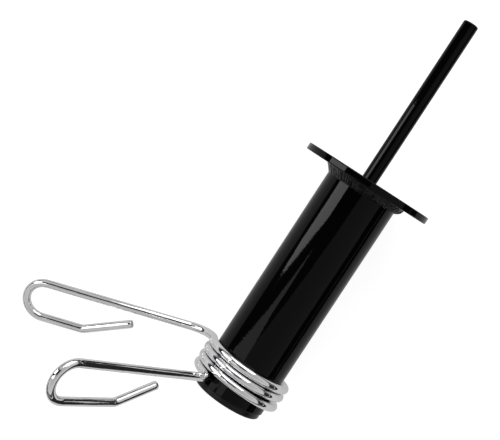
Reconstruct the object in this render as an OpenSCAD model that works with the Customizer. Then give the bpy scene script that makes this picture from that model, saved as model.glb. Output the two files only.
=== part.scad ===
// Weight stack pin: a steel rod, a stop flange and a plate sleeve welded in line,
// with a plug in the sleeve's open end and a wire spring collar round the sleeve.
//
// Every piece is drawn in the pin's own frame: Z is the pin's axis, zero is the face
// of the flange that the rod stands on, and the rod points to +Z. The finished pieces
// are then laid down together, as the object comes to rest: on the rim of the flange,
// on the last turn of the collar and on the hook of the collar's first handle.
// Angles round the axis are counted from -Y, the side that looks up, towards +X.

/* [Rod] */
// Diameter of the rod that enters the weight stack
rod_d = 10.1; // [6:0.1:16]
// Length of the rod from the flange's face to its tip
rod_len = 114.5; // [40:0.5:200]
// Rounding of the rod's tip
rod_tip_round = 1; // [0.2:0.1:2]
// How far the rod's root stands out inside the sleeve
rod_root = 4; // [2:0.5:10]
// How much the root is turned down from the rod, on the radius
root_step = 0.2; // [0.2:0.05:1]
// Radial play between the rod and the hole in the flange
rod_play = 0.1; // [0.05:0.05:0.4]
// Leg of the hidden weld round the rod's root
root_weld = 3; // [1:0.5:4]

/* [Flange] */
// Diameter of the stop flange
flange_d = 87.4; // [70:0.2:140]
// Thickness of the stop flange
flange_t = 4.5; // [2:0.5:10]
// Rounding of the flange's two edges
flange_round = 0.7; // [0.1:0.1:0.9]

/* [Sleeve] */
// Outside diameter of the sleeve that carries the plates
sleeve_d = 48.3; // [40:0.1:60]
// Wall of the sleeve
sleeve_wall = 3; // [1.5:0.1:6]
// Length of the sleeve from the flange to its open end
sleeve_len = 156.5; // [120:0.5:260]
// Chamfer round the sleeve's open end
sleeve_chamfer = 0.6; // [0.1:0.1:1]
// Leg of the weld bead on the flange
weld_out = 4.2; // [2:0.1:7]
// Leg of the weld bead along the sleeve
weld_down = 4.8; // [2:0.1:7]
// How much longer the bead's leg along the sleeve is on the side where the welder lingered
weld_linger = 3; // [0:0.1:5]
// Depth of the ripples in the weld bead
weld_ripple = 0.5; // [0:0.1:1]
// Number of ripples round the weld bead
weld_ripple_count = 52; // [20:1:80]

/* [End plug] */
// How much smaller the plug's head is than the sleeve, on the radius
plug_step = 0.75; // [0:0.05:1.5]
// Thickness of the plug's head
plug_head = 3.8; // [2:0.1:8]
// Rounding of the head's edge
plug_round = 1.5; // [0.2:0.1:1.8]
// Length of the plug's barrel inside the sleeve
plug_barrel = 17; // [10:1:30]
// Wall of the plug's barrel
plug_wall = 1.8; // [1:0.1:3]
// How far the grip rings stand out from the barrel
plug_ring = 0.8; // [0.3:0.1:1.5]
// Number of grip rings on the barrel
plug_ring_count = 4; // [2:1:6]

/* [Spring collar] */
// Diameter of the collar's wire
wire_d = 5.5; // [4:0.1:7]
// Play between the coil's inside and the sleeve, on the radius
coil_play = 0.5; // [0.1:0.05:1]
// Distance from the flange's face to the middle of the coil's first turn, on top
coil_from_face = 137.9; // [60:0.1:145]
// Rise of the coil in one turn
coil_pitch = 5.9; // [5.8:0.05:9]
// How much the last turn hangs away from the one before it
turn_sag = 1.4; // [0:0.1:3]
// Angle at which the coil starts, at the first handle
coil_start_angle = -81; // [-90:1:-60]
// Angle at which the coil ends, at the second handle, past its full turns
coil_end_angle = -48; // [-60:1:-30]
// Number of full turns between the two handles
coil_turn_count = 3; // [2:1:5]
// Direction of each handle round the axis
handle_angle = [-89.6, -35.2]; // [-120:0.1:-20]
// Slope of each handle towards the sleeve's open end
handle_slope_angle = [17.3, 7.8]; // [0:0.1:25]
// Radius of the bend from the coil into each handle
handle_bend = [19, 8.5]; // [6:0.1:24]
// Straight length of each handle
handle_len = [96.4, 100.6]; // [60:0.5:140]
// Radius of the hook at each handle's end
hook_r = 12.4; // [8:0.1:20]
// Turn of the hooks
hook_angle = [180, 183]; // [150:1:200]
// Tilt of each hook's plane about its handle
hook_tilt_angle = [-19.1, 0]; // [-30:0.1:30]
// Straight return of each hook
return_len = [26.6, 37.6]; // [15:0.5:50]
// Angle of the last bend towards the handle
tip_angle = [24, 25.5]; // [10:0.5:40]
// Radius of the last bend
tip_bend = 8; // [6:0.5:20]
// Straight length of each wire end
tip_len = [32.8, 28]; // [10:0.5:40]
// Chamfer of the cut wire ends
wire_chamfer = 0.5; // [0.1:0.1:1]

/* [Hidden] */

$fn = 96;
paint = [0.03, 0.03, 0.035];
plastic = [0.05, 0.05, 0.05];
bare_weld = [0.1, 0.1, 0.1];
chrome = [0.8, 0.81, 0.83];

rod_r = rod_d / 2;
root_r = rod_r - root_step;
flange_r = flange_d / 2;
sleeve_r = sleeve_d / 2;
bore_r = sleeve_r - sleeve_wall;
sleeve_end = -flange_t - sleeve_len;
wire_r = wire_d / 2;
coil_r = sleeve_r + coil_play + wire_r;
coil_last = coil_turn_count * 360 + coil_end_angle;

// Facets: sides of the wire, and degrees between two rings in the coil and in the bends
wire_sides = 16;
coil_step_angle = 8;
bend_step_angle = 12;
// Facets round the weld bead, in each ripple
ripple_steps = 4;

// Vectors
function unit(v) = v / norm(v);
function turned(v, k, a) = v * cos(a) + cross(k, v) * sin(a) + k * (k * v) * (1 - cos(a));
function heading(turn, slope) =
    [sin(turn) * cos(slope), -cos(turn) * cos(slope), -sin(slope)];

// The collar's wire is a list of stations, each a point and the wire's direction there.
// The last turn sags over this stretch, in turns counted back from the coil's end.
sag_from = coil_last / 360 - 1.01;
sag_over = 0.9;
function sag(turn) =
    turn_sag * pow(sin(180 * min(max((turn - sag_from) / sag_over, 0), 1)), 2);
function coil_point(a) =
    [coil_r * sin(a), -coil_r * cos(a), -coil_from_face - coil_pitch * a / 360 - sag(a / 360)];
function coil_station(a) =
    [coil_point(a), unit(coil_point(a + 0.5) - coil_point(a - 0.5))];
function coil_stations() =
    let (n = ceil((coil_last - coil_start_angle) / coil_step_angle))
    [for (i = [0:n]) coil_station(coil_start_angle + (coil_last - coil_start_angle) * i / n)];

function arc(from, k, r, a) =
    let (
        n = max(2, ceil(abs(a) / bend_step_angle)),
        middle = from[0] + cross(k, from[1]) * r
    )
    [for (i = [1:n]) [
        middle + turned(from[0] - middle, k, a * i / n),
        turned(from[1], k, a * i / n)
    ]];
function ahead(from, distance) = [from[0] + from[1] * distance, from[1]];
function last(list) = list[len(list) - 1];

// A handle, from the coil outwards: bend, straight leg, hook, return, last bend, wire end
function handle(from, i) =
    let (
        leg = heading(handle_angle[i], handle_slope_angle[i]),
        across = cross(from[1], leg),
        bend = arc(from, unit(across), handle_bend[i], atan2(norm(across), from[1] * leg)),
        leg_end = ahead(last(bend), handle_len[i]),
        open_end = [0, 0, -1],
        side = turned(unit(open_end - leg * (leg * open_end)), leg, hook_tilt_angle[i]),
        k = cross(leg, side),
        hook = arc(leg_end, k, hook_r, hook_angle[i]),
        return_end = ahead(last(hook), return_len[i]),
        tip = arc(return_end, k, tip_bend, tip_angle[i]),
        chamfer_start = ahead(last(tip), tip_len[i] - wire_chamfer)
    )
    concat(bend, [leg_end], hook, [return_end], tip, [chamfer_start]);

function backwards(stations) =
    [for (i = [len(stations) - 1:-1:0]) [stations[i][0], -stations[i][1]]];
function flipped(station) = [station[0], -station[1]];

coil = coil_stations();
first_handle = handle(flipped(coil[0]), 0);
second_handle = handle(last(coil), 1);
wire = concat(backwards(first_handle), coil, second_handle);

// How the object lies. The sleeve leans because the flange is wider than the collar,
// and the lean follows from a line that touches the flange's rim and the last turn.
floor_turn = floor(coil_last / 360 - 0.5) + 0.5;
turn_under = coil_point(floor_turn * 360);
rise = flange_r - flange_round - coil_r;
run = -turn_under[2] - (flange_t - flange_round);
lean = acos((wire_r - flange_round) / norm([rise, run])) - atan2(run, rise);
rest_height =
    (flange_r - flange_round) * cos(lean) + (flange_t - flange_round) * sin(lean) + flange_round;

// It then rolls until the first handle's hook meets the floor.
function roll_to_floor(p) =
    let (
        reach = norm([p[0], p[1]]),
        level = (rest_height - wire_r + p[2] * sin(lean)) / cos(lean)
    )
    level < reach ? atan2(p[0], p[1]) + acos(level / reach) : -90;
roll = max([for (s = first_handle) roll_to_floor(s[0])]);

module lying() {
    rotate([0, -lean, 0]) rotate([-90, 0, 0]) rotate([0, 90, 0]) rotate([0, 0, roll]) children();
}

// A tube of round wire through the stations: each ring carries on the one before it,
// so the sides run along the wire without a twist. Its two ends are chamfered.
module wire_tube(stations) {
    n = len(stations);
    tangent = [for (s = stations) s[1]];
    start = unit(cross(tangent[0], [0, 0, 1]));
    side = [
        for (
            i = 0, u = start;
            i < n;
            i = i + 1,
            u = i < n ? unit(u - tangent[i] * (tangent[i] * u)) : u
        ) u
    ];
    rings = concat(
        [[ahead(stations[0], -wire_chamfer)[0], side[0], tangent[0], wire_r - wire_chamfer]],
        [for (i = [0:n - 1]) [stations[i][0], side[i], tangent[i], wire_r]],
        [[ahead(stations[n - 1], wire_chamfer)[0], side[n - 1], tangent[n - 1], wire_r - wire_chamfer]]
    );
    points = [
        for (ring = rings, j = [0:wire_sides - 1])
            let (a = 360 * j / wire_sides)
            ring[0] + ring[3] * (ring[1] * cos(a) + cross(ring[2], ring[1]) * sin(a))
    ];
    count = len(rings);
    start_face = [for (j = [0:wire_sides - 1]) j];
    end_face = [for (j = [wire_sides - 1:-1:0]) (count - 1) * wire_sides + j];
    walls = [
        for (i = [0:count - 2], j = [0:wire_sides - 1])
            let (
                next = (j + 1) % wire_sides,
                here = i * wire_sides,
                there = here + wire_sides
            )
            each [
                [here + j, there + next, here + next],
                [here + j, there + j, there + next]
            ]
    ];
    polyhedron(points = points, faces = concat([start_face], [end_face], walls), convexity = 10);
}

module pin_rod() {
    color(paint)
        rotate_extrude()
            polygon(concat(
                [[0, -flange_t - rod_root], [root_r, -flange_t - rod_root], [root_r, 0], [rod_r, 0]],
                [for (a = [0:15:90])
                    [rod_r - rod_tip_round * (1 - cos(a)), rod_len - rod_tip_round * (1 - sin(a))]],
                [[0, rod_len]]
            ));
}

module stop_flange() {
    bevel = flange_round;
    color(paint)
        rotate_extrude()
            polygon(concat(
                [[rod_r + rod_play, -flange_t]],
                [for (a = [-90:15:0])
                    [flange_r - bevel + bevel * cos(a), -flange_t + bevel + bevel * sin(a)]],
                [for (a = [0:15:90])
                    [flange_r - bevel + bevel * cos(a), -bevel + bevel * sin(a)]],
                [[rod_r + rod_play, 0]]
            ));
}

// The fillet that holds the rod's root, inside the sleeve
module rod_weld() {
    color(bare_weld)
        rotate_extrude()
            polygon([
                [root_r, -flange_t],
                [root_r, -flange_t - root_weld],
                [root_r + root_weld * 0.4, -flange_t - root_weld * 0.8],
                [root_r + root_weld * 0.8, -flange_t - root_weld * 0.4],
                [root_r + root_weld, -flange_t]
            ]);
}

module sleeve_tube() {
    color(paint)
        rotate_extrude()
            polygon([
                [bore_r, -flange_t],
                [sleeve_r, -flange_t],
                [sleeve_r, sleeve_end + sleeve_chamfer],
                [sleeve_r - sleeve_chamfer, sleeve_end],
                [bore_r, sleeve_end]
            ]);
}

// The bead between sleeve and flange: a fillet whose face rises and falls with each
// ripple, as the torch moved on. Its section grows and shrinks by the ripple's depth.
module sleeve_weld() {
    n = weld_ripple_count * ripple_steps;
    // A polygon round the sleeve, just outside the true circle
    inner_r = sleeve_r / cos(180 / n);
    face = [for (a = [0:22.5:90]) [pow(sin(a), 1.3), pow(cos(a), 1.3)]];
    section = len(face) + 1;
    function swell(i) = abs(cos(180 * i / ripple_steps));
    function wander(i) = 0.5 * sin(5 * 360 * i / n) + 0.5 * sin(8 * 360 * i / n + 40);
    points = [
        for (i = [0:n - 1])
            let (
                a = 360 * i / n,
                less = weld_ripple * (1 - swell(i)),
                out = weld_out - less + 0.3 * weld_ripple * wander(i),
                linger = weld_linger * pow((1 - cos(a)) / 2, 2),
                down = weld_down - less - 0.6 * weld_ripple * wander(i) + linger
            )
            each concat(
                [[inner_r * cos(a), inner_r * sin(a), -flange_t]],
                [for (f = face)
                    let (r = inner_r + out * f[0])
                    [r * cos(a), r * sin(a), -flange_t - down * f[1]]]
            )
    ];
    faces = [
        for (i = [0:n - 1], j = [0:section - 1])
            let (
                here = i * section,
                there = ((i + 1) % n) * section,
                next = (j + 1) % section
            )
            each [
                [here + j, here + next, there + next],
                [here + j, there + next, there + j]
            ]
    ];
    color(bare_weld) polyhedron(points = points, faces = faces, convexity = 6);
}

// A moulded cup: the head covers the sleeve's end, the barrel grips the bore with rings
module end_plug() {
    head_r = sleeve_r - plug_step;
    barrel_r = bore_r - plug_ring;
    bottom = sleeve_end - plug_head;
    ring_h = plug_barrel / (plug_ring_count * 2);
    color(plastic)
        rotate_extrude()
            polygon(concat(
                [[0, bottom]],
                [for (a = [-90:15:0])
                    [head_r - plug_round + plug_round * cos(a), bottom + plug_round + plug_round * sin(a)]],
                [[head_r, sleeve_end], [barrel_r, sleeve_end]],
                [for (i = [0:plug_ring_count - 1])
                    let (z = sleeve_end + ring_h * (2 * i + 1))
                    each [[barrel_r, z], [bore_r, z + ring_h * 0.4], [barrel_r, z + ring_h * 0.8]]],
                [
                    [barrel_r, sleeve_end + plug_barrel],
                    [barrel_r - plug_wall, sleeve_end + plug_barrel],
                    [barrel_r - plug_wall, sleeve_end],
                    [0, sleeve_end]
                ]
            ));
}

// One length of chromed wire: a handle, the coil round the sleeve, and the other handle
module spring_collar() {
    color(chrome) wire_tube(wire);
}

lying() pin_rod();
lying() stop_flange();
lying() rod_weld();
lying() sleeve_tube();
lying() sleeve_weld();
lying() end_plug();
lying() spring_collar();
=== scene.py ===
# %% [markdown]
# # A weight stack pin, dressed for its picture
# The pin is a welded steel piece in gloss black paint: a thin rod, a round stop flange
# and a thick sleeve. A black plastic plug closes the sleeve, and a sprung collar bent
# from one chromed wire holds the weight plates on it. The solids come finished from the
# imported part. This lesson gives them their surfaces, and makes two pieces again with
# more detail than the solids carry: the rippled weld bead and the smooth round wire.

import math

import bpy
import numpy as np
from mathutils import Matrix


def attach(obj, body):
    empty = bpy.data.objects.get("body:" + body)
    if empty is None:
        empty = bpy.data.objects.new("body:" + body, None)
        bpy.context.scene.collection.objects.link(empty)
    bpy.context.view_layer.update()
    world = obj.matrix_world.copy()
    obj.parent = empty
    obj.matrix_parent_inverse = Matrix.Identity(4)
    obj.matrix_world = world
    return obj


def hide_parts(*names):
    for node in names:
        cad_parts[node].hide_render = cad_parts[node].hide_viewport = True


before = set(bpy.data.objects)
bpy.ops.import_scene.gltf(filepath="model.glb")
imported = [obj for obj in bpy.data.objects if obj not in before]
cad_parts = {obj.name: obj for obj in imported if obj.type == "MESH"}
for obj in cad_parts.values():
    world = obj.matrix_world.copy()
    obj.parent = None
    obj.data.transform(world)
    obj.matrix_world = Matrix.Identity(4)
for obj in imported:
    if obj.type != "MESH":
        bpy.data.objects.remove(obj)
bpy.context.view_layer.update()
print("solids:", sorted(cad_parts))

# %% [markdown]
# ## One frame for drawing, one for lying down
# It is easiest to draw a turned and wound thing round its own axis. So every new piece
# is computed in the pin's own frame, in millimetres: Z is the axis, zero is the face of
# the flange that the rod stands on, and -Y is the side that looks up. One matrix then
# lays the finished points down the way the real pin comes to rest, leaning because its
# flange is wider than its collar. The two angles are the ones the solids were laid
# down with.

# %% From the pin's own frame to the floor
LEAN = math.radians(5.1687)
ROLL = math.radians(-1.91459)


def turn(axis, angle):
    """A turn about one axis, as a 3 by 3 array."""
    return np.array(Matrix.Rotation(angle, 3, axis))


LYING = turn("Y", -LEAN) @ turn("X", -math.pi / 2) @ turn("Y", math.pi / 2) @ turn("Z", ROLL)


def laid_down(points):
    """Millimetres in the pin's frame to metres in the scene: points times LYING."""
    return np.asarray(points, float) @ LYING.T / 1000


print("the axis points to", LYING[:, 2].round(4))

# %% [markdown]
# ## A mesh from a grid
# A wound wire and a weld bead are both a grid of points: one direction runs along the
# piece, the other goes round its section. One helper joins the grid's neighbours into
# quads as whole arrays. It closes the grid round the section, and can close it along the
# piece too, or cap its two ends.

# %% A helper that turns a grid into a mesh
def grid_mesh(name, grid, close_rows=False, caps=False):
    """Quads between neighbours of a grid of shape (rows, columns, 3), millimetres.

    Columns always close on themselves. Row i, column j is vertex i * columns + j, and
    each quad takes (i, j), (i, j+1), (i+1, j+1), (i+1, j). Seen along the rows, columns
    that run clockwise give faces that point outwards.
    """
    rows, columns = grid.shape[:2]
    i = np.arange(rows if close_rows else rows - 1)[:, None]
    j = np.arange(columns)[None, :]
    after, beside = (i + 1) % rows, (j + 1) % columns
    corners = [i * columns + j, i * columns + beside, after * columns + beside, after * columns + j]
    faces = np.stack(np.broadcast_arrays(*corners), -1).reshape(-1, 4).tolist()
    if caps:
        first, last = range(columns), range((rows - 1) * columns, rows * columns)
        faces += [list(first)[::-1], list(last)]
    mesh = bpy.data.meshes.new(name)
    mesh.from_pydata(laid_down(grid.reshape(-1, 3)).tolist(), [], faces)
    mesh.polygons.foreach_set("use_smooth", np.ones(len(faces), bool))
    mesh.update()
    piece = bpy.data.objects.new(name, mesh)
    bpy.context.scene.collection.objects.link(piece)
    print(f"{name}: {len(faces)} faces")
    return piece


# %% [markdown]
# ## Small helpers for materials
# Each finish is a few nodes round one Principled shader: a noise changes the roughness
# and tips the surface a little. Most of the noises read Object coordinates, which are
# metres here, so a noise scale of 1000 has lumps of about a millimetre. Plain numbers
# go straight on the shader's own sockets.

# %% Helpers that add nodes
def new_material(name, **sockets):
    """A Principled material with these sockets set. Underscores stand for spaces."""
    material = bpy.data.materials.new(name)
    material.use_nodes = True
    shader = material.node_tree.nodes["Principled BSDF"]
    for socket, value in sockets.items():
        shader.inputs[socket.replace("_", " ")].default_value = value
    return material, material.node_tree, shader


def object_place(tree):
    """The Object coordinates, in metres."""
    return tree.nodes.new("ShaderNodeTexCoord").outputs["Object"]


def stretched(tree, place, scale, rotation=(0, 0, 0)):
    """A place turned and scaled by a Mapping. A scale under one draws a noise out that way."""
    mapping = tree.nodes.new("ShaderNodeMapping")
    mapping.inputs["Rotation"].default_value = rotation
    mapping.inputs["Scale"].default_value = scale
    tree.links.new(place, mapping.inputs["Vector"])
    return mapping.outputs["Vector"]


def noise(tree, scale, detail=3.0, place=None, roughness=0.5):
    """A noise at the given place, or else in Object coordinates."""
    place = place or object_place(tree)
    texture = tree.nodes.new("ShaderNodeTexNoise")
    texture.inputs["Scale"].default_value = scale
    texture.inputs["Detail"].default_value = detail
    texture.inputs["Roughness"].default_value = roughness
    tree.links.new(place, texture.inputs["Vector"])
    return texture.outputs["Fac"]


def spread(tree, value, low, high, start=0.3, end=0.7):
    """Maps a noise's middle range onto low to high, for a shader socket."""
    node = tree.nodes.new("ShaderNodeMapRange")
    for socket, number in zip(("From Min", "From Max", "To Min", "To Max"), (start, end, low, high)):
        node.inputs[socket].default_value = number
    tree.links.new(value, node.inputs["Value"])
    return node.outputs["Result"]


def tint(tree, value, *stops):
    """Colours for a noise or a height, from (position, grey or colour) stops."""
    ramp = tree.nodes.new("ShaderNodeValToRGB")
    while len(ramp.color_ramp.elements) < len(stops):
        ramp.color_ramp.elements.new(0.5)
    for element, (position, colour) in zip(ramp.color_ramp.elements, stops):
        element.position = position
        element.color = (*((colour,) * 3 if isinstance(colour, float) else colour), 1)
    tree.links.new(value, ramp.inputs["Fac"])
    return ramp.outputs["Color"]


def bump(tree, shader, *layers):
    """Tips the surface by noises, each (height, strength, depth in metres), one on another."""
    under = None
    for height, strength, depth in layers:
        node = tree.nodes.new("ShaderNodeBump")
        node.inputs["Strength"].default_value = strength
        node.inputs["Distance"].default_value = depth
        tree.links.new(height, node.inputs["Height"])
        if under:
            tree.links.new(under, node.inputs["Normal"])
        under = node.outputs["Normal"]
    tree.links.new(under, shader.inputs["Normal"])


def wear(piece, *materials):
    """Puts the materials in the piece's slots, in order."""
    piece.data.materials.clear()
    for material in materials:
        piece.data.materials.append(material)


# %% [markdown]
# ## Gloss black paint
# The real paint is a thick glossy enamel. Seen straight on it is almost black, and
# towards the edges it mirrors the white floor more and more, which the shader's Fresnel
# gives by itself. Enamel is never quite flat: a faint waviness about a centimetre wide,
# drawn out along the pin, makes the edges of a reflection wander, and a finer one
# softens them, as in a real dipped coat.

# %% The paint
black_paint, tree, shader = new_material(
    "gloss_black_paint", Base_Color=(0.0010, 0.0010, 0.0011, 1), Roughness=0.05, Specular_IOR_Level=0.13
)
along_pin = stretched(tree, object_place(tree), (0.35, 1, 1), (0, LEAN, 0))
waves = noise(tree, 90, 2, along_pin)
peel = noise(tree, 420, 3)
dust = noise(tree, 1600, 2)
tree.links.new(spread(tree, dust, 0.035, 0.07, 0.35, 0.75), shader.inputs["Roughness"])
bump(tree, shader, (waves, 0.10, 0.0012), (peel, 0.05, 0.0003))
for node in ("pin_rod", "stop_flange", "sleeve_tube"):
    wear(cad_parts[node], black_paint)
print("painted: rod, flange, sleeve")

# %% [markdown]
# ## The hidden weld
# Inside the sleeve a small fillet holds the rod's root. Nobody sees it in the picture,
# but it still gets the dull grey-brown of steel that was welded and never painted.

# %% Bare weld metal
bare_weld, tree, shader = new_material("bare_weld_metal", Metallic=1.0, Roughness=0.45)
scale_marks = noise(tree, 700, 4)
tree.links.new(
    tint(tree, scale_marks, (0.3, (0.10, 0.09, 0.08)), (0.6, (0.32, 0.30, 0.28))),
    shader.inputs["Base Color"],
)
bump(tree, shader, (scale_marks, 0.5, 0.0002))
wear(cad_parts["rod_weld"], bare_weld)

# %% [markdown]
# ## The plug's plastic
# The plug is moulded and less glossy than the paint: its highlights are broad, and a
# fine grain from the mould's surface dulls them.

# %% Black plastic
plug_plastic, tree, shader = new_material(
    "satin_black_plastic", Base_Color=(0.003, 0.003, 0.003, 1), Roughness=0.3, Specular_IOR_Level=0.25
)
grain = noise(tree, 3000, 2)
flow = noise(tree, 150, 2)
tree.links.new(spread(tree, flow, 0.24, 0.36), shader.inputs["Roughness"])
bump(tree, shader, (grain, 0.12, 0.00006))
wear(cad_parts["end_plug"], plug_plastic)

# %% [markdown]
# ## The weld bead
# A welder laid this bead round the sleeve in one slow pass. Each time the torch moved
# on, the pool froze in a new overlapping scale, and where the pass went slower the
# metal ran into folds that follow the bead. On the picture's left the bead is smooth
# and hollow, like a flare, and on its right it is full and rough. The solid has a plain
# version of it. Here the bead is computed on a fine grid: one parameter goes round the
# sleeve, the other over the bead's face from the sleeve to the flange. It ends inside
# both, so no gap shows.

# %% The bead's shape
SLEEVE_R = 24.15
FLANGE_BACK = -4.5
BEAD_OUT, BEAD_DOWN = 4.3, 4.6
IN_SLEEVE, IN_FLANGE = 0.3, 0.2
SCALES = 34
RISE = 0.75
around = np.linspace(0, 2 * np.pi, 1440, endpoint=False)
over = np.linspace(0, 1, 25)
rng = np.random.default_rng(7)


def wander(angle, waves):
    """A smooth closed curve: the sum of sines of the given waves per turn, peak about 1.

    It comes as a column, one row for each angle.
    """
    phases = rng.uniform(0, 2 * np.pi, len(waves))
    curve = sum(np.sin(n * angle + p) for n, p in zip(waves, phases)) / math.sqrt(len(waves))
    return curve[:, None]


def bead_grid():
    """Points of the bead, millimetres, shape (around, section, 3).

    With a from 0 at the sleeve to a right angle at the flange, the face reaches out by
    sin a to a power and down by cos a to the same power. A power of 1 is round, 2 is
    straight, and more is hollow. The power falls from the left side to the right.

    The lift above that face is a sum of two patterns, both nothing at the face's ends.
    Each scale is a saw tooth with a steep front, and it leans over, because its phase
    falls with the square of the distance from the face's middle. Each fold is the size
    of a sine over the face, pushed to and fro by a wandering curve.
    """
    angle = around[:, None]
    side = np.sin(angle)
    rough = 0.5 + 0.5 * side
    phase = angle / (2 * np.pi) * SCALES + 1.1 * wander(around, [3, 5, 8, 13]) - 2.2 * (over - 0.4) ** 2
    tooth = phase % 1
    ripple = np.where(tooth < RISE, tooth / RISE, (1 - tooth) / (1 - RISE)) ** 0.8
    fold = np.abs(np.sin(np.pi * (2.0 * over + 0.9 * wander(around, [4, 9, 14, 23, 31]))))
    fullness = 1 + 0.06 * wander(around, [4, 7, 11, 17])
    linger = 1.1 * ((1 - np.cos(angle - 2.6)) / 2) ** 2
    lift = (0.12 + 0.22 * rough) * (ripple - 0.55) + (0.05 + 0.55 * rough) * (fold - 0.6)
    lift = 0.75 * (lift + 0.10 * wander(around, [60, 83, 111])) * np.sin(np.pi * over)
    a = np.pi / 2 * over
    power = 1.85 - 0.45 * side
    out = (BEAD_OUT * fullness + IN_SLEEVE) * np.sin(a) ** power + lift
    down = (BEAD_DOWN * fullness + linger + IN_FLANGE) * np.cos(a) ** power + lift
    r, z = SLEEVE_R - IN_SLEEVE + out, FLANGE_BACK + IN_FLANGE - down
    r = np.concatenate([r, np.full((len(around), 1), SLEEVE_R - IN_SLEEVE)], 1)
    z = np.concatenate([z, np.full((len(around), 1), FLANGE_BACK + IN_FLANGE)], 1)
    return np.stack([r * np.sin(angle), -r * np.cos(angle), z], -1)


weld_bead = grid_mesh("weld_bead", bead_grid(), close_rows=True)
# Its section runs from the sleeve to the flange, so the helper's faces point inwards.
weld_bead.data.flip_normals()
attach(weld_bead, "welded_pin")
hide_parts("sleeve_weld")

# %% [markdown]
# The bead is under the same paint, which pools between the scales. It only needs a
# slightly rougher coat with its own fine pitting. That coat mirrors a little more.

# %% Paint over the bead
bead_paint, tree, shader = new_material(
    "paint_over_weld", Base_Color=(0.0015, 0.0015, 0.0016, 1), Roughness=0.07, Specular_IOR_Level=0.2
)
pits = noise(tree, 900, 3)
tree.links.new(spread(tree, pits, 0.04, 0.12), shader.inputs["Roughness"])
bump(tree, shader, (pits, 0.10, 0.0002))
wear(weld_bead, bead_paint)

# %% [markdown]
# ## The wire's path
# The collar is one length of spring wire. It starts at a cut end, bends into a hook,
# runs along the first handle, winds almost three turns round the sleeve and leaves
# along the second handle into another hook. Its path is made of three kinds of
# stretch: straight runs, circular arcs and the helix. Each is computed as an array of
# points with an array of directions, and the stretches are then joined end to end.

# %% Stretches of a path
WIRE_R, PLAY = 2.75, 0.5
COIL_R = SLEEVE_R + PLAY + WIRE_R
COIL_TOP, PITCH, SAG = 137.9, 5.9, 1.4
START, END = -81.0, 3 * 360 - 48.0


def unit(v):
    """A vector, or each row of an array of them, at length one."""
    return v / np.linalg.norm(v, axis=-1, keepdims=True)


def helix(a):
    """The coil at angle a in degrees, counted from -Y towards +X.

    Height falls by the pitch each turn, and the last turn hangs a little further:
    the sag is a sine-squared bump that spans nine tenths of that turn.
    """
    t, turns = np.radians(a), a / 360
    hang = np.sin(np.pi * np.clip((turns - (END / 360 - 1.01)) / 0.9, 0, 1)) ** 2
    height = -COIL_TOP - PITCH * turns - SAG * hang
    return np.stack([COIL_R * np.sin(t), -COIL_R * np.cos(t), height], -1)


def arc(point, direction, axis, radius, degrees):
    """An arc from a point: both the arm from its centre and its direction turn about axis.

    A vector v turned by t about k is v cos t + (k x v) sin t + k (k . v)(1 - cos t).
    """
    steps = max(8, int(abs(degrees) / 2.5))
    t = np.radians(np.linspace(0, degrees, steps + 1))[1:, None]
    centre = point + np.cross(axis, direction) * radius

    def turned(v):
        return v * np.cos(t) + np.cross(axis, v) * np.sin(t) + axis * (axis @ v) * (1 - np.cos(t))

    return centre + turned(point - centre), turned(direction)


def straight(point, direction, length, steps=12):
    """Evenly spaced points from just after the first to the far end."""
    s = np.linspace(0, length, steps + 1)[1:, None]
    return point + direction * s, np.repeat(direction[None], steps, 0)


print("coil: radius", COIL_R, "mm, from", START, "to", END, "degrees")

# %% [markdown]
# A handle is a chain of those stretches. It bends out of the coil, runs straight, turns
# back in a hook whose plane may be tilted, returns, and bends in once more to its cut
# end. The two handles have the same chain with their own numbers.

# %% The two handles
FIRST = dict(heading=-89.6, slope=17.3, bend=19.0, leg=96.4, tilt=-19.1)
FIRST |= dict(hook=180, back=26.6, tip=24.0, end=32.8)
SECOND = dict(heading=-35.2, slope=7.8, bend=8.5, leg=100.6, tilt=0.0)
SECOND |= dict(hook=183, back=37.6, tip=25.5, end=28.0)
HOOK_R, TIP_R = 12.4, 8.0


def handle(point, direction, h):
    """Points and directions of one handle, outwards from the coil's end.

    The leg's heading and slope are angles, bend is the radius of the bend out of the
    coil, hook and tip are the angles that the wire turns there, and leg, back and end
    are lengths. The hook's plane holds the leg, and tilt turns it about the leg.
    """
    heading, slope, tilt = (math.radians(h[key]) for key in ("heading", "slope", "tilt"))
    level = np.array([math.sin(heading), -math.cos(heading), 0.0])
    open_end = np.array([0.0, 0.0, -1.0])
    leg = level * math.cos(slope) + open_end * math.sin(slope)
    across = np.cross(direction, leg)
    bend = math.degrees(math.atan2(np.linalg.norm(across), direction @ leg))
    chain = [arc(point, direction, unit(across), h["bend"], bend)]
    chain.append(straight(chain[-1][0][-1], leg, h["leg"], 30))
    side = unit(open_end - leg * (leg @ open_end))
    side = side * math.cos(tilt) + np.cross(leg, side) * math.sin(tilt)
    axis = np.cross(leg, side)
    for radius, turned, run in ((HOOK_R, h["hook"], h["back"]), (TIP_R, h["tip"], h["end"])):
        chain.append(arc(chain[-1][0][-1], chain[-1][1][-1], axis, radius, turned))
        chain.append(straight(chain[-1][0][-1], chain[-1][1][-1], run))
    return np.concatenate([c[0] for c in chain]), np.concatenate([c[1] for c in chain])


angles = np.linspace(START, END, 480)
coil = helix(angles)
coil_way = unit(helix(angles + 0.5) - helix(angles - 0.5))
first, first_way = handle(coil[0], -coil_way[0], FIRST)
second, second_way = handle(coil[-1], coil_way[-1], SECOND)
path = np.concatenate([first[::-1], coil, second])
way = np.concatenate([-first_way[::-1], coil_way, second_way])
gone = np.r_[0, np.cumsum(np.linalg.norm(np.diff(path, axis=0), axis=1))]
print(f"wire: {gone[-1]:.0f} mm of it, {len(path)} stations")

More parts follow.
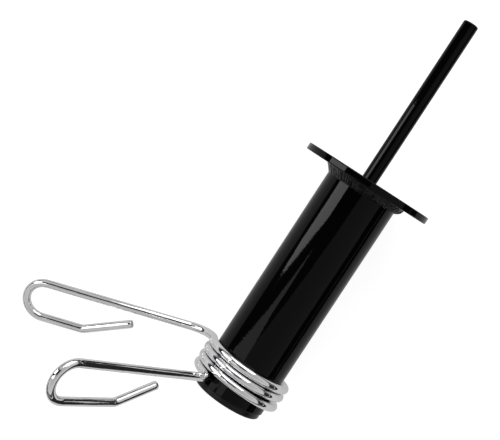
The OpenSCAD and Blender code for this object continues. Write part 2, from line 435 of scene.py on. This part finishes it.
# %% [markdown]
# ## The wire itself
# A circle carried along the path makes the wire. If each circle were set up afresh
# from the world's axes, the mesh would twist where the path turns over. Instead each
# one takes over the last one's side direction with the part along the new direction
# removed, which keeps the lines along the wire straight. The cut ends have a small
# chamfer, so two smaller rings close each end.
#
# Drawn wire has fine marks along it, and they follow its bends. So each point also
# keeps where it would lie if the wire were straight: its place on the section, and how
# far along the wire it is. The chrome reads that as an attribute.

# %% Carrying a circle along the path
def carried_sides(way):
    """A side direction for every station, each the last one made square to its own way."""
    sides = np.empty_like(way)
    side = unit(np.cross(way[0], [0.0, 0.0, 1.0]))
    for i, w in enumerate(way):
        side = unit(side - w * (w @ side))
        sides[i] = side
    return sides


CHAMFER, HALF_WAY_IN, HALF_WAY_DOWN = 0.5, 0.18, 0.22
round_wire = np.linspace(0, 2 * np.pi, 40, endpoint=False)
order = np.r_[0, 0, np.arange(len(path)), -1, -1]


def wire_grid():
    """Rings about each station: point + radius (side cos a + (way x side) sin a)."""
    shift = np.r_[0.0, HALF_WAY_IN, np.zeros(len(path)), -HALF_WAY_IN, 0.0]
    shift[2], shift[-3] = CHAMFER, -CHAMFER
    radius = np.full(len(order), WIRE_R)
    radius[[0, -1]], radius[[1, -2]] = WIRE_R - CHAMFER, WIRE_R - HALF_WAY_DOWN
    side, ahead = carried_sides(way)[order], way[order]
    centre = path[order] + ahead * shift[:, None]
    a = round_wire[None, :, None]
    ring = side[:, None] * np.cos(a) + np.cross(ahead, side)[:, None] * np.sin(a)
    return centre[:, None] + ring * radius[:, None, None]


def drawn_places():
    """Where each point lies on the straight wire, metres: (R cos a, R sin a, length so far)."""
    places = np.empty((len(order), len(round_wire), 3))
    places[..., 0] = WIRE_R * np.cos(round_wire)
    places[..., 1] = WIRE_R * np.sin(round_wire)
    places[..., 2] = gone[order][:, None]
    return places / 1000


collar_wire = grid_mesh("collar_wire", wire_grid(), caps=True)
layer = collar_wire.data.attributes.new("drawn", "FLOAT_VECTOR", "POINT")
layer.data.foreach_set("vector", drawn_places().ravel())
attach(collar_wire, "collar")
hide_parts("spring_collar")

# %% [markdown]
# ## Chrome
# Bright plating over drawn wire. It mirrors whatever stands round it, so its look comes
# from the room: white floor at its edges, dark lines where the room is dark. Fine draw
# marks, thirty times longer than they are wide, ripple the reflections along the wire,
# and a few handling scuffs blur them. The cut ends are bare steel with the plating's
# haze on them, duller than the rest.

# %% Plating and cut ends
chrome, tree, shader = new_material(
    "bright_chrome", Base_Color=(0.82, 0.82, 0.83, 1), Metallic=1.0, Roughness=0.06
)
scuffs = noise(tree, 350, 4, roughness=0.6)
straight_wire = tree.nodes.new("ShaderNodeAttribute")
straight_wire.attribute_name = "drawn"
marks = noise(tree, 1800, 2, stretched(tree, straight_wire.outputs["Vector"], (1, 1, 0.03)))
tree.links.new(spread(tree, scuffs, 0.03, 0.09, 0.4, 0.75), shader.inputs["Roughness"])
bump(tree, shader, (scuffs, 0.05, 0.0002), (marks, 0.8, 0.00005))

cut_steel, tree, shader = new_material("cut_wire_end", Metallic=1.0, Roughness=0.38)
saw = noise(tree, 2600, 3)
tree.links.new(tint(tree, saw, (0.3, 0.30), (0.7, 0.52)), shader.inputs["Base Color"])
bump(tree, shader, (saw, 0.4, 0.0001))
wear(collar_wire, chrome, cut_steel)
cut = np.arange(len(collar_wire.data.polygons)) >= len(collar_wire.data.polygons) - 2
collar_wire.data.polygons.foreach_set("material_index", cut.astype(np.int32))
collar_wire.data.polygons.foreach_set("use_smooth", ~cut)
collar_wire.data.update()
print("chrome on the wire, bare steel on its", cut.sum(), "cut ends")

# %% [markdown]
# ## Camera
# The camera looks almost straight down on the lying pin. Its place was found by
# fitting the outlines of the rod, the flange, the sleeve and the plug, so it is given in
# the pin's own frame and laid down with it. The picture is turned by nearly 33 degrees.

# %% The camera
FOCAL_PX, WIDTH_PX = 1200.0, 500.0
SENSOR_MM = 36.0
EYE = np.array([-0.13, -751.3, -2.93])
yaw, pitch, roll = (math.radians(v) for v in (3.714, -4.459, 32.937))
ahead = np.array([-math.sin(yaw) * math.cos(pitch), math.cos(yaw) * math.cos(pitch), math.sin(pitch)])
level = np.array([math.cos(yaw), math.sin(yaw), 0.0])
above = np.cross(level, ahead)
right = math.cos(roll) * level + math.sin(roll) * above
top = -math.sin(roll) * level + math.cos(roll) * above
lens = bpy.data.cameras.new("camera")
lens.sensor_width = SENSOR_MM
lens.lens = SENSOR_MM * FOCAL_PX / WIDTH_PX
camera = bpy.data.objects.new("camera", lens)


def stand(piece, axes, spot):
    """Puts a camera or a lamp at a spot, its own axes along the columns of axes."""
    piece.matrix_world = Matrix([[*row, at] for row, at in zip(axes, spot)] + [[0, 0, 0, 1]])
    bpy.context.scene.collection.objects.link(piece)


stand(camera, LYING @ np.stack([right, top, -ahead], 1), laid_down(EYE))
bpy.context.scene.camera = camera
bpy.context.scene.view_settings.view_transform = "Standard"
print("camera at", laid_down(EYE).round(4), "with a lens of", lens.lens, "mm")

# %% [markdown]
# ## Floor
# The picture's background is plain white. The floor is a grey matte sheet that mostly
# shines white towards the camera and keeps a soft share of real light, so the pin's
# shadow stays on it. Mirrors see a good part of that shine, and it draws the pale bands
# along the paint's edges. Light that falls on the pin from below has none of it, or the
# black would turn grey.

# %% A white floor that keeps the shadow
FLOOR = -0.04395
REACH = 4.0
SHINE, MIRRORED_SHARE, MATTE_GREY = 0.86, 0.45, 0.3


def staged(name, points, faces, material):
    """A mesh of scene points that belongs to the studio and not to the pin."""
    mesh = bpy.data.meshes.new(name)
    mesh.from_pydata(np.asarray(points).tolist(), [], np.asarray(faces).tolist())
    mesh.materials.append(material)
    piece = bpy.data.objects.new(name, mesh)
    bpy.context.scene.collection.objects.link(piece)
    return piece


def bare_material(name):
    """A material with nothing in it but its output."""
    material = bpy.data.materials.new(name)
    material.use_nodes = True
    tree = material.node_tree
    tree.nodes.clear()
    return material, tree, tree.nodes.new("ShaderNodeOutputMaterial").inputs["Surface"]


def seen_directly(tree):
    """1 for rays from the camera or through glass, a part for mirrored rays, else 0."""
    light_path = tree.nodes.new("ShaderNodeLightPath")
    total = light_path.outputs["Is Camera Ray"]
    for other, share in (("Is Glossy Ray", MIRRORED_SHARE), ("Is Transmission Ray", 1.0)):
        part = tree.nodes.new("ShaderNodeMath")
        part.operation = "MULTIPLY"
        part.inputs[1].default_value = share
        tree.links.new(light_path.outputs[other], part.inputs[0])
        node = tree.nodes.new("ShaderNodeMath")
        node.operation = "MAXIMUM"
        tree.links.new(total, node.inputs[0])
        tree.links.new(part.outputs[0], node.inputs[1])
        total = node.outputs[0]
    return total


pale_floor, tree, surface = bare_material("pale_floor")
matte = tree.nodes.new("ShaderNodeBsdfDiffuse")
matte.inputs["Color"].default_value = (MATTE_GREY, MATTE_GREY, MATTE_GREY, 1)
glow = tree.nodes.new("ShaderNodeEmission")
glow.inputs["Strength"].default_value = SHINE
both = tree.nodes.new("ShaderNodeAddShader")
mix = tree.nodes.new("ShaderNodeMixShader")
tree.links.new(matte.outputs[0], both.inputs[0])
tree.links.new(glow.outputs[0], both.inputs[1])
tree.links.new(seen_directly(tree), mix.inputs["Fac"])
tree.links.new(matte.outputs[0], mix.inputs[1])
tree.links.new(both.outputs[0], mix.inputs[2])
tree.links.new(mix.outputs[0], surface)
corners = [(x * REACH, y * REACH, FLOOR) for x, y in ((-1, -1), (1, -1), (1, 1), (-1, 1))]
staged("floor", corners, [(0, 1, 2, 3)], pale_floor)
print("floor at", FLOOR)

# %% [markdown]
# ## Room
# Black paint and chrome show the room more than themselves. The room here is a soft
# light grey, a little darker overhead, behind the camera, because the paint's front is
# nearly black in the picture. Low down it has a dark band all round, as a studio does
# behind its table. In the chrome that band becomes a dark line near each edge of the
# wire. The camera itself sees plain white instead of the room.

# %% The world
world = bpy.data.worlds.new("room")
bpy.context.scene.world = world
world.use_nodes = True
tree = world.node_tree
tree.nodes.clear()
direction = tree.nodes.new("ShaderNodeTexCoord").outputs["Generated"]
height = tree.nodes.new("ShaderNodeSeparateXYZ")
tree.links.new(direction, height.inputs[0])
DARK_BAND = ((0.0, 0.60), (0.02, 0.08), (0.17, 0.08), (0.22, 0.68))
OVERHEAD = ((0.70, 0.54), (1.0, 0.45))
room = tree.nodes.new("ShaderNodeBackground")
tree.links.new(tint(tree, height.outputs["Z"], *DARK_BAND, *OVERHEAD), room.inputs["Color"])
white = tree.nodes.new("ShaderNodeBackground")
white.inputs["Color"].default_value = (1, 1, 1, 1)
camera_ray = tree.nodes.new("ShaderNodeLightPath").outputs["Is Camera Ray"]
mix = tree.nodes.new("ShaderNodeMixShader")
out = tree.nodes.new("ShaderNodeOutputWorld")
tree.links.new(camera_ray, mix.inputs["Fac"])
tree.links.new(room.outputs[0], mix.inputs[1])
tree.links.new(white.outputs[0], mix.inputs[2])
tree.links.new(mix.outputs[0], out.inputs["Surface"])
print("room: a dark band low down, light grey above it")

# %% [markdown]
# ## Lamps and dark sheets
# Glossy black paint shows no colour of its own, only a picture of the studio: crisp
# stripes where a lamp stands and black where a dark sheet hangs between the lamps.
# So each lamp's outline is worked out backwards. It starts as an outline on the sleeve,
# where the stripe is to lie, and each corner is thrown out along the ray that the sleeve
# mirrors towards the camera. The dark sheets are laid out the same way. None of them
# shows to the camera itself. One more dark sheet lies on the floor round a clear patch,
# as where a white table ends, and only mirrors see it.

# %% Sheets hung where the sleeve mirrors them
def mirrored(angle, along, distance):
    """The point this far out on the ray that the sleeve mirrors to the camera's first place.

    With the surface point p, its normal n and the view direction v, the mirrored
    direction is v - 2 (v . n) n. Angles are degrees from the side that looks up.
    """
    a = np.radians(angle)
    n = np.stack([np.sin(a), -np.cos(a), np.zeros_like(a)], -1)
    p = n * SLEEVE_R + along[..., None] * np.array([0.0, 0.0, 1.0])
    v = unit(p - EYE)
    return p + (v - 2 * (v * n).sum(-1, keepdims=True) * n) * distance


DARK = 0.02


def hung(name, points, quads, glow):
    """A sheet with this glow, seen only in mirrors and, if it is a lamp, as light."""
    material, tree, surface = bare_material(name)
    shine = tree.nodes.new("ShaderNodeEmission")
    shine.inputs["Strength"].default_value = glow
    tree.links.new(shine.outputs[0], surface)
    piece = staged(name, points, quads, material)
    piece.visible_camera = piece.visible_shadow = False
    piece.visible_diffuse = glow > DARK
    print(name, "reaches from", points.min(0).round(2), "to", points.max(0).round(2))


def sheet_of(name, edges, distance, glow):
    """A sheet between two edges on the sleeve, given as rows of (along, left, right).

    Along is millimetres from the flange's face towards the rod's tip. Left and right
    are the angles of the edges there.
    """
    rows = np.array(edges, float)
    share = np.linspace(0, 1, 17)
    angle = rows[:, 1:2] * (1 - share) + rows[:, 2:3] * share
    grid = mirrored(angle, np.broadcast_to(rows[:, :1], angle.shape), distance)
    i, j = np.mgrid[0 : len(rows) - 1, 0 : len(share) - 1]
    first = (i * len(share) + j).ravel()
    quads = np.stack([first, first + 1, first + len(share) + 1, first + len(share)], -1)
    hung(name, laid_down(grid.reshape(-1, 3)), quads, glow)


STRIPE = [(53, -36.5, -20), (-32, -36.5, -20), (-44, -36.5, -23), (-62, -36, -28), (-74, -35, -32)]
LOW_STRIPE = [(-57, -14, -13), (-75, -15.5, -12), (-88, -18, -12), (-101, -20, -12)]
LOW_STRIPE += [(-113, -24, -10), (-132, -31, -8), (-200, -36, -8)]
ARCH = [(140, -41.5, 3), (-35, -41.5, 3), (-55, -41.5, 1), (-80, -41.5, -2)]
ARCH += [(-105, -41.5, -6), (-132, -41.5, -12), (-200, -41.5, -20)]
EDGE_STRIP = [(140, 36, 44.6), (-200, 36, 44.6)]
sheet_of("stripe_lamp", STRIPE, 1200, 6.0)
sheet_of("low_stripe_lamp", LOW_STRIPE, 1200, 1.7)
sheet_of("dark_arch", ARCH, 1500, DARK)
sheet_of("dark_strip", EDGE_STRIP, 900, DARK)

# The clear patch holds the whole pin and is open towards +Y, where the handles reach.
FAR, NEAR_SIDE, BEFORE, BEHIND = 2.5, -0.28, 0.25, -0.6
strips = [(-FAR, FAR, -FAR, NEAR_SIDE), (BEFORE, FAR, NEAR_SIDE, FAR), (-FAR, BEHIND, NEAR_SIDE, FAR)]
corners = [((x0, y0), (x1, y0), (x1, y1), (x0, y1)) for x0, x1, y0, y1 in strips]
flat = np.array(corners).reshape(-1, 2)
surround = np.c_[flat, np.full(len(flat), FLOOR + 0.001)]
hung("dark_surround", surround, np.arange(len(flat)).reshape(-1, 4), DARK)

# %% [markdown]
# The wires are lit by one more lamp, a wide soft one beyond the rod. It draws the white
# band along the first leg and the turns. An area lamp gives out pi times its area times
# the brightness that a mirror sees in it, so its power follows from that brightness.

# %% The wide lamp beyond the rod
TOWARDS, DISTANCE, SIZE, BRIGHTNESS = (0.84, 0.07, 0.54), 1.2, 1.1, 1.6
lamp = bpy.data.lights.new("wire_lamp", "AREA")
lamp.shape, lamp.size = "SQUARE", SIZE
lamp.energy = math.pi * SIZE**2 * BRIGHTNESS
wire_lamp = bpy.data.objects.new("wire_lamp", lamp)
back = unit(np.array(TOWARDS))
across = unit(np.cross([0.0, 0.0, 1.0], back))
coil_middle = laid_down([0.0, 0.0, -145.0])
stand(wire_lamp, np.stack([across, np.cross(back, across), back], 1), coil_middle + back * DISTANCE)
wire_lamp.visible_camera = False
print("wire_lamp gives", round(lamp.energy, 2), "watts")
